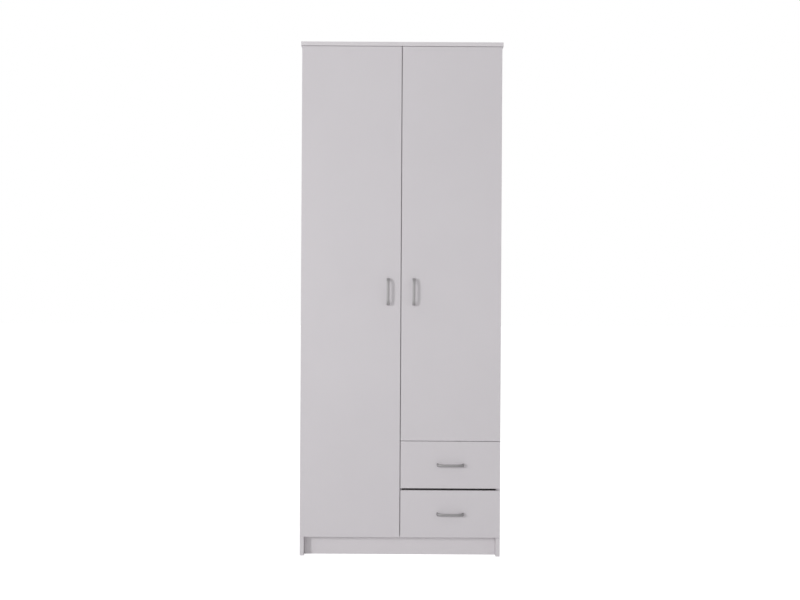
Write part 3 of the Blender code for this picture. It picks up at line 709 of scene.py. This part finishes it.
def dress_drawers():
    """Foil-wrapped sides and back, printed bottom, epoxy-coated runners."""
    coat = enamel()
    for drawer in DRAWERS:
        for part in ("left_side", "right_side", "back"):
            node = f"{drawer}_{part}"
            dress(node, melamine(node, INSIDE_WHITE, INSIDE_WHITE), FOIL_EDGE)
        node = f"{drawer}_bottom"
        dress(node, drawer_bottom_sheet(node), DRAWER_SHEET_EDGE, 1)
        for side in SIDES:
            for member in ("cabinet", "drawer"):
                dress(f"{drawer}_{side}_{member}_runner", coat, RUNNER_EDGE, 2)


def dress_hardware():
    """Hinges, rail and rail sockets."""
    steel = plated("hinge_plating", HINGE_STEEL, 0.20, 0.34)
    for door in DOORS:
        for place in HINGE_PLACES:
            for part in ("arm", "link", "cup"):
                dress(f"{door}_{place}_hinge_{part}", steel, HINGE_EDGE, 2)
    dress("hanging_rail", chrome_tube(), RAIL_EDGE, 2)
    plastic = moulded("socket_plastic", SOCKET_PLASTIC)
    for side in SIDES:
        dress(f"{side}_rail_socket", plastic, SOCKET_EDGE, 2)


def pin_rows():
    """The two depths at which shelf pins sit."""
    low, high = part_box("centre_partition")
    return (low.y + PIN_FRONT_INSET, high.y - PIN_BACK_INSET)


def pin_hole_places():
    """(y, z) of the pin holes: a short ladder of holes around each loose shelf."""
    places = []
    for shelf in LOOSE_SHELVES:
        pin_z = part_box(shelf)[0].z - PIN_DROP
        for step in PIN_HOLE_STEPS:
            for y in pin_rows():
                places.append((y, pin_z + PIN_HOLE_PITCH * step))
    return places


def bore_pin_holes():
    """Bores the shelf pin holes into two boards, before their normals are weighted."""
    raw = bare_chipboard()
    end = PIN_HOLE_DEPTH
    profile = [(0, end), (PIN_HOLE_RADIUS, end), (PIN_HOLE_RADIUS, -end), (0, -end)]
    for node, toward in (("centre_partition", 1), ("right_side_panel", -1)):
        face = face_x(node, toward)
        places = [aim((face, y, z), toward * X) for y, z in pin_hole_places()]
        cutter = joined_object(f"{node}_holes", turned(profile, 16), places, raw)
        cutter.hide_render = True
        cutter.display_type = "WIRE"
        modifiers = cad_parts[node].modifiers
        step = modifiers.new("pin_holes", "BOOLEAN")
        step.operation = "DIFFERENCE"
        step.object = cutter
        step.material_mode = "TRANSFER"
        last = len(modifiers) - 1
        modifiers.move(last, last - 1)


# ---------------------------------------------------------------- fixings


def signed_power(value, power):
    """value to a power, with its sign kept."""
    return math.copysign(abs(value) ** power, value)


def handle_point(middle, base_y, place, across, upright):
    """A point of the handle from its place along and out, and its place across."""
    if upright:
        return (middle.x + across, base_y - place.y, middle.z + place.x)
    return (middle.x + place.x, base_y - place.y, middle.z + across)


def handle_shape(low, high, upright):
    """A bow handle that fills the CAD handle's box: rounded flat bar on two flared feet."""
    middle, size = (low + high) / 2, high - low
    half_length = (size.z if upright else size.x) / 2
    foot_half = (size.x if upright else size.z) / 2
    waist_half = foot_half * WAIST_SHARE
    shape = bmesh.new()
    rings = []
    for i in range(BOW_STEPS + 1):
        turn = math.pi * i / BOW_STEPS
        side = signed_power(math.cos(turn), 2 / BOW_SQUARENESS)
        rise = math.sin(turn) ** (2 / BOW_SQUARENESS) if 0 < i < BOW_STEPS else 0.0
        outer = Vector((half_length * side, size.y * rise))
        inner = Vector(((half_length - FOOT_LENGTH) * side, (size.y - BAR_THICKNESS) * rise))
        half = waist_half + (foot_half - waist_half) * abs(side) ** 4
        centre, spread = (outer + inner) / 2, (outer - inner) / 2
        ring = []
        for k in range(SECTION_STEPS):
            angle = 2 * math.pi * k / SECTION_STEPS
            place = centre + spread * signed_power(math.cos(angle), SECTION_POWER)
            across = half * signed_power(math.sin(angle), SECTION_POWER)
            ring.append(shape.verts.new(handle_point(middle, high.y, place, across, upright)))
        rings.append(ring)
    for first, second in zip(rings, rings[1:]):
        for k in range(SECTION_STEPS):
            following = (k + 1) % SECTION_STEPS
            shape.faces.new((first[k], first[following], second[following], second[k]))
    shape.faces.new(rings[0])
    shape.faces.new(rings[-1])
    bmesh.ops.recalc_face_normals(shape, faces=shape.faces)
    return shape


def make_handles(zinc):
    """The four bow handles, and their screws behind the fronts."""
    head = screw_head(*HANDLE_SCREW)
    for body in (*DOORS, *DRAWERS):
        upright = body in DOORS
        node = f"{body}_handle"
        low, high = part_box(node)
        # Painted shade: drawer handles get a darker copy of the door handles' metal, for the shadow
        # under a level bar.
        tone = DOOR_HANDLE if upright else DRAWER_HANDLE_PAINTED_SHADE
        metal = satin_metal(f"{body}_handle_satin", tone, 2 if upright else 0)
        shape = handle_shape(low, high, upright)
        piece = finished_object(f"{body}_bow_handle", shape, metal, sharp=50)
        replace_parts(attach(piece, body), node)
        back_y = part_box(f"{body}_panel" if upright else f"{body}_front")[1].y
        middle = (low + high) / 2
        along = Z if upright else X
        places = []
        for side in (-1, 1):
            point = Vector((middle.x, back_y, middle.z)) + along * side * HANDLE_SCREW_OFFSET
            places.append(aim(point, Y, 0.4 + side))
        scatter(f"{body}_handle_screws", head, places, zinc, body)


def make_hinge_fixings(zinc):
    """Screws in cups and plates, adjusting screws on arms, rivet heads on the links' pins."""
    wood_screw = screw_head(*WOOD_SCREW)
    adjuster = slotted_head(*ADJUSTING_SCREW)
    rivet = dome(*LINK_RIVET)
    for door, inward in DOORS.items():
        cup_places, plate_places, adjuster_places, rivet_places = [], [], [], []
        for index, place in enumerate(HINGE_PLACES):
            arm = f"{door}_{place}_hinge_arm"
            arm_low, arm_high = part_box(arm)
            cup_low, cup_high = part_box(f"{door}_{place}_hinge_cup")
            centre = (cup_low + cup_high) / 2
            plate_x = face_x(arm, -inward) + inward * PLATE_THICKNESS
            web_x = face_x(arm, inward)
            for side in (-1, 1):
                spin = 0.7 * index + side
                point = (centre.x, cup_high.y, centre.z + side * CUP_SCREW_RISE)
                cup_places.append(aim(point, Y, spin))
                y, z = arm_high.y - PLATE_SCREW_SETBACK, centre.z + side * PLATE_SCREW_RISE
                plate_places.append(aim((plate_x, y, z), inward * X, spin))
                x, y = web_x - inward * LINK_PIN_INSET, arm_low.y + LINK_PIN_INSET
                rivet_places.append(aim((x, y, centre.z + side * RIVET_RISE), side * Z))
            for setback in ADJUSTER_SETBACKS:
                spin = 0.5 + index + setback * 30
                adjuster_places.append(aim((web_x, arm_high.y - setback, centre.z), inward * X, spin))
        links = f"{door}_hinge_links"
        for name, template, places, body in (
            (f"{door}_cup_screws", wood_screw, cup_places, door),
            (f"{door}_plate_screws", wood_screw, plate_places, "carcass"),
            (f"{door}_adjusting_screws", adjuster, adjuster_places, "carcass"),
            (f"{door}_link_rivets", rivet, rivet_places, links),
        ):
            scatter(name, template, places, zinc, body)


def make_buffers():
    """Small soft buffers on the backs of the doors and drawer fronts."""
    rubber = moulded("buffer_plastic", BUFFER_PLASTIC, 0.6)
    button = dome(*DOOR_BUFFER)
    wide_button = dome(*DRAWER_BUFFER)
    for door, inward in DOORS.items():
        low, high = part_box(f"{door}_panel")
        x = -inward * DOOR_BUFFER_OFF_CENTRE
        heights = (low.z + DOOR_BUFFER_BELOW, high.z - DOOR_BUFFER_ABOVE)
        places = [aim((x, high.y, z), Y) for z in heights]
        scatter(f"{door}_buffers", button, places, rubber, door)
    side_low, side_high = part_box("right_side_panel")
    x = (side_low.x + side_high.x) / 2 + DRAWER_BUFFER_SHIFT
    for drawer in DRAWERS:
        low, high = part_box(f"{drawer}_front")
        heights = (low.z + DRAWER_BUFFER_INSET, high.z - DRAWER_BUFFER_INSET)
        places = [aim((x, high.y, z), Y) for z in heights]
        scatter(f"{drawer}_buffers", wide_button, places, rubber, drawer)


def make_shelf_pins(zinc):
    """Four pins under each loose shelf, in the bored holes, with their tongues upwards."""
    places = []
    for shelf in LOOSE_SHELVES:
        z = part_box(shelf)[0].z - PIN_DROP
        for y in pin_rows():
            for node, toward in (("centre_partition", 1), ("right_side_panel", -1)):
                face = face_x(node, toward)
                rows = ((0, 0, toward, face), (0, -toward, 0, y), (1, 0, 0, z), (0, 0, 0, 1))
                places.append(Matrix(rows))
    scatter("shelf_pins", shelf_pin(), places, zinc, "carcass")


def make_shelf_cams(zinc):
    """Cam fittings under the fixed shelves."""
    places = []
    for node in ("hat_shelf", "drawer_deck", "bottom_panel"):
        low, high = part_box(node)
        for x in (low.x + CAM_INSET, high.x - CAM_INSET):
            for y in (low.y + CAM_FRONT, high.y - CAM_BACK):
                places.append(aim((x, y, low.z), -Z, x * 9 + y * 5))
    scatter("cam_fittings", cam_disc(*SHELF_CAM), places, zinc, "carcass")


def make_cam_caps():
    """Plastic caps over the cams near the top of the upright boards."""
    plastic = moulded("cap_plastic", CAP_PLASTIC, 0.42)
    places = []
    boards = (("left_side_panel", 1), ("right_side_panel", -1), ("centre_partition", -1))
    for node, toward in boards:
        low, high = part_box(node)
        for y in (low.y + CAP_FRONT, high.y - CAP_BACK):
            places.append(aim((face_x(node, toward), y, high.z - CAM_INSET), toward * X))
    scatter("cam_caps", cover_cap(*CAM_CAP), places, plastic, "carcass")


def make_drawer_cams(zinc):
    """Cam fittings that hold the drawer fronts."""
    disc = cam_disc(*DRAWER_CAM)
    for drawer in DRAWERS:
        places = []
        for side, inward in SIDES.items():
            node = f"{drawer}_{side}_side"
            low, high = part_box(node)
            for z in (low.z + DRAWER_CAM_BELOW, high.z - DRAWER_CAM_ABOVE):
                point = (face_x(node, inward), low.y + DRAWER_CAM_FRONT, z)
                places.append(aim(point, inward * X, z * 20))
        scatter(f"{drawer}_cams", disc, places, zinc, drawer)


def make_back_nails():
    """Nails through the back sheets, along every board edge behind them."""
    places = []
    for side, shelf in (("left", "hat_shelf"), ("right", "drawer_deck")):
        low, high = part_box(f"back_panel_{side}")
        if SIDES[side] > 0:
            columns = (low.x + NAIL_EDGE, high.x - NAIL_SEAM)
        else:
            columns = (low.x + NAIL_SEAM, high.x - NAIL_EDGE)
        shelf_low, shelf_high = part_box(shelf)
        rows = (low.z + NAIL_EDGE, (shelf_low.z + shelf_high.z) / 2, high.z - NAIL_EDGE)
        heights = row(low.z + NAIL_COLUMN_END, high.z - NAIL_COLUMN_END, NAIL_COLUMN_PITCH)
        spots = [(x, z) for x in columns for z in heights]
        across = row(columns[0] + NAIL_ROW_END, columns[1] - NAIL_ROW_END, NAIL_ROW_PITCH)
        spots += [(x, z) for z in rows for x in across]
        places += [aim((x, high.y, z), Y) for x, z in spots]
    steel = plated("nail_steel", NAIL_STEEL, 0.30, 0.50)
    nail = dome(*NAIL, sides=16)
    scatter("back_sheet_nails", nail, places, steel, "carcass")


def make_cabinet_runner_details(drawer, side, inward, wheel, head, nylon, zinc):
    """The wheel and screws of the runner member on the cabinet."""
    node = f"{drawer}_{side}_cabinet_runner"
    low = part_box(node)[0]
    board = face_x(node, -inward)
    x, y, z = FRONT_WHEEL_PLACE
    places = [aim((board + inward * x, low.y + y, low.z + z), X)]
    name = f"{drawer}_{side}_front_wheel"
    scatter(name, wheel, places, nylon, "carcass")
    web, height = board + inward * CABINET_WEB, low.z + CABINET_SCREW_RISE
    places = [aim((web, low.y + y, height), inward * X, y * 9) for y in CABINET_SCREWS]
    name = f"{drawer}_{side}_cabinet_screws"
    scatter(name, head, places, zinc, "carcass")


def make_drawer_runner_details(drawer, side, inward, wheel, head, nylon, zinc):
    """The wheel and screws of the runner member on the drawer."""
    low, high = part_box(f"{drawer}_{side}_drawer_runner")
    board = face_x(f"{drawer}_{side}_side", -inward)
    x, y, z = REAR_WHEEL_PLACE
    places = [aim((board - inward * x, high.y - y, low.z + z), X)]
    scatter(f"{drawer}_{side}_rear_wheel", wheel, places, nylon, drawer)
    leg, height = board - inward * DRAWER_LEG, low.z + DRAWER_SCREW_RISE
    places = [aim((leg, low.y + y, height), -inward * X, y * 7) for y in DRAWER_SCREWS]
    scatter(f"{drawer}_{side}_drawer_screws", head, places, zinc, drawer)


def make_runner_details(zinc):
    """Nylon wheels and fixing screws of the drawer runners."""
    nylon = moulded("wheel_nylon", WHEEL_NYLON, 0.38)
    front_wheel = roller(FRONT_WHEEL_RADIUS, FRONT_WHEEL_WIDTH)
    rear_wheel = roller(REAR_WHEEL_RADIUS, REAR_WHEEL_WIDTH)
    head = flat_head(*CABINET_RUNNER_SCREW)
    small_head = flat_head(*DRAWER_RUNNER_SCREW)
    for drawer in DRAWERS:
        for side, inward in SIDES.items():
            make_cabinet_runner_details(drawer, side, inward, front_wheel, head, nylon, zinc)
            make_drawer_runner_details(drawer, side, inward, rear_wheel, small_head, nylon, zinc)


def make_drawer_screws(zinc):
    """Screws through the drawer sides into the back."""
    head = flat_head(*DRAWER_BACK_SCREW)
    for drawer in DRAWERS:
        places = []
        for side, inward in SIDES.items():
            node = f"{drawer}_{side}_side"
            low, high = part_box(node)
            for z in (low.z + BACK_SCREW_BELOW, high.z - BACK_SCREW_ABOVE):
                point = (face_x(node, -inward), high.y - BACK_SCREW_SETBACK, z)
                places.append(aim(point, -inward * X, z * 13))
        scatter(f"{drawer}_back_screws", head, places, zinc, drawer)


# ---------------------------------------------------------------- stage


def make_floor():
    """A plain pale floor, just under the object. It glows a little for the camera only."""
    shape = bmesh.new()
    bmesh.ops.create_grid(shape, x_segments=1, y_segments=1, size=40.0)
    mesh = bpy.data.meshes.new("floor")
    shape.to_mesh(mesh)
    shape.free()
    obj = bpy.data.objects.new("floor", mesh)
    bpy.context.scene.collection.objects.link(obj)
    obj.location.z = -0.0004
    surface = Surface("floor_paper", roughness=0.9)
    unevenness = surface.spread(surface.noise(0.8, 2.0), 0.99, 1.0)
    surface.color(surface.shade((0.95, 0.95, 0.95), unevenness))
    surface.shader.inputs["Specular IOR Level"].default_value = 0.0
    seen = surface.node("ShaderNodeLightPath").outputs["Is Camera Ray"]
    surface.shader.inputs["Emission Color"].default_value = (1.0, 1.0, 1.0, 1.0)
    surface.feed(surface.shader.inputs["Emission Strength"], surface.spread(seen, 0.0, 0.75))
    mesh.materials.append(surface.material)


def make_sky():
    """White surroundings: full white for the camera, weaker as a soft light on the object."""
    world = bpy.data.worlds.new("studio")
    bpy.context.scene.world = world
    world.use_nodes = True
    tree = world.node_tree
    background = tree.nodes["Background"]
    background.inputs["Color"].default_value = (1.0, 1.0, 1.0, 1.0)
    path = tree.nodes.new("ShaderNodeLightPath")
    strength = tree.nodes.new("ShaderNodeMapRange")
    strength.inputs["To Min"].default_value = 0.37
    strength.inputs["To Max"].default_value = 1.0
    tree.links.new(path.outputs["Is Camera Ray"], strength.inputs["Value"])
    tree.links.new(strength.outputs["Result"], background.inputs["Strength"])


def area_light(name, place, target, width, height, power):
    """A soft box that points at a target."""
    light = bpy.data.lights.new(name, "AREA")
    light.shape = "RECTANGLE"
    light.size, light.size_y = width, height
    light.energy = power
    obj = bpy.data.objects.new(name, light)
    bpy.context.scene.collection.objects.link(obj)
    obj.location = place
    obj.rotation_euler = (target - place).to_track_quat("-Z", "Y").to_euler()


def make_lights():
    """Key light from the left, a broad one in front, and weak ones on the right and above."""
    front = Vector((0, cad_bounds[0].y, 1.0))
    top = Vector((0, 0, cad_bounds[1].z))
    toward_key = Vector((-0.86, -1.0, 0.20)).normalized()
    area_light("key", front + toward_key * 8.0, front, 1.2, 1.2, 164)
    area_light("front", front + Vector((-1.1, -7.4, -0.4)), front, 4.0, 3.0, 63)
    area_light("right", front + Vector((3.4, -3.2, 0.4)), front, 1.4, 1.8, 6)
    area_light("above", top + Vector((0, 0.2, 3.0)), top, 2.0, 2.0, 12)


def make_camera():
    """Straight on, at about half the object's height, with the photograph's slight tilt."""
    low, high = cad_bounds
    distance, shift_x, shift_z, tilt = 4.491, -0.0038, -0.0018, -0.0055
    data = bpy.data.cameras.new("camera")
    data.lens = 52.06
    data.sensor_width = 36.0
    data.clip_end = 200
    obj = bpy.data.objects.new("camera", data)
    bpy.context.scene.collection.objects.link(obj)
    door_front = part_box("left_door_panel")[0].y
    obj.location = (shift_x, door_front - distance, (low.z + high.z) / 2 + shift_z)
    obj.rotation_euler = (math.radians(90), tilt, 0)
    bpy.context.scene.camera = obj
    bpy.context.scene.view_settings.view_transform = "Standard"


# ---------------------------------------------------------------- build


dress_boards()
dress_drawers()
dress_hardware()
bore_pin_holes()
zinc_plate = plated("zinc_plate", ZINC, 0.24, 0.40)
make_handles(zinc_plate)
make_hinge_fixings(zinc_plate)
make_buffers()
make_shelf_pins(zinc_plate)
make_shelf_cams(zinc_plate)
make_cam_caps()
make_drawer_cams(zinc_plate)
make_back_nails()
make_runner_details(zinc_plate)
make_drawer_screws(zinc_plate)
make_floor()
make_sky()
make_lights()
make_camera()
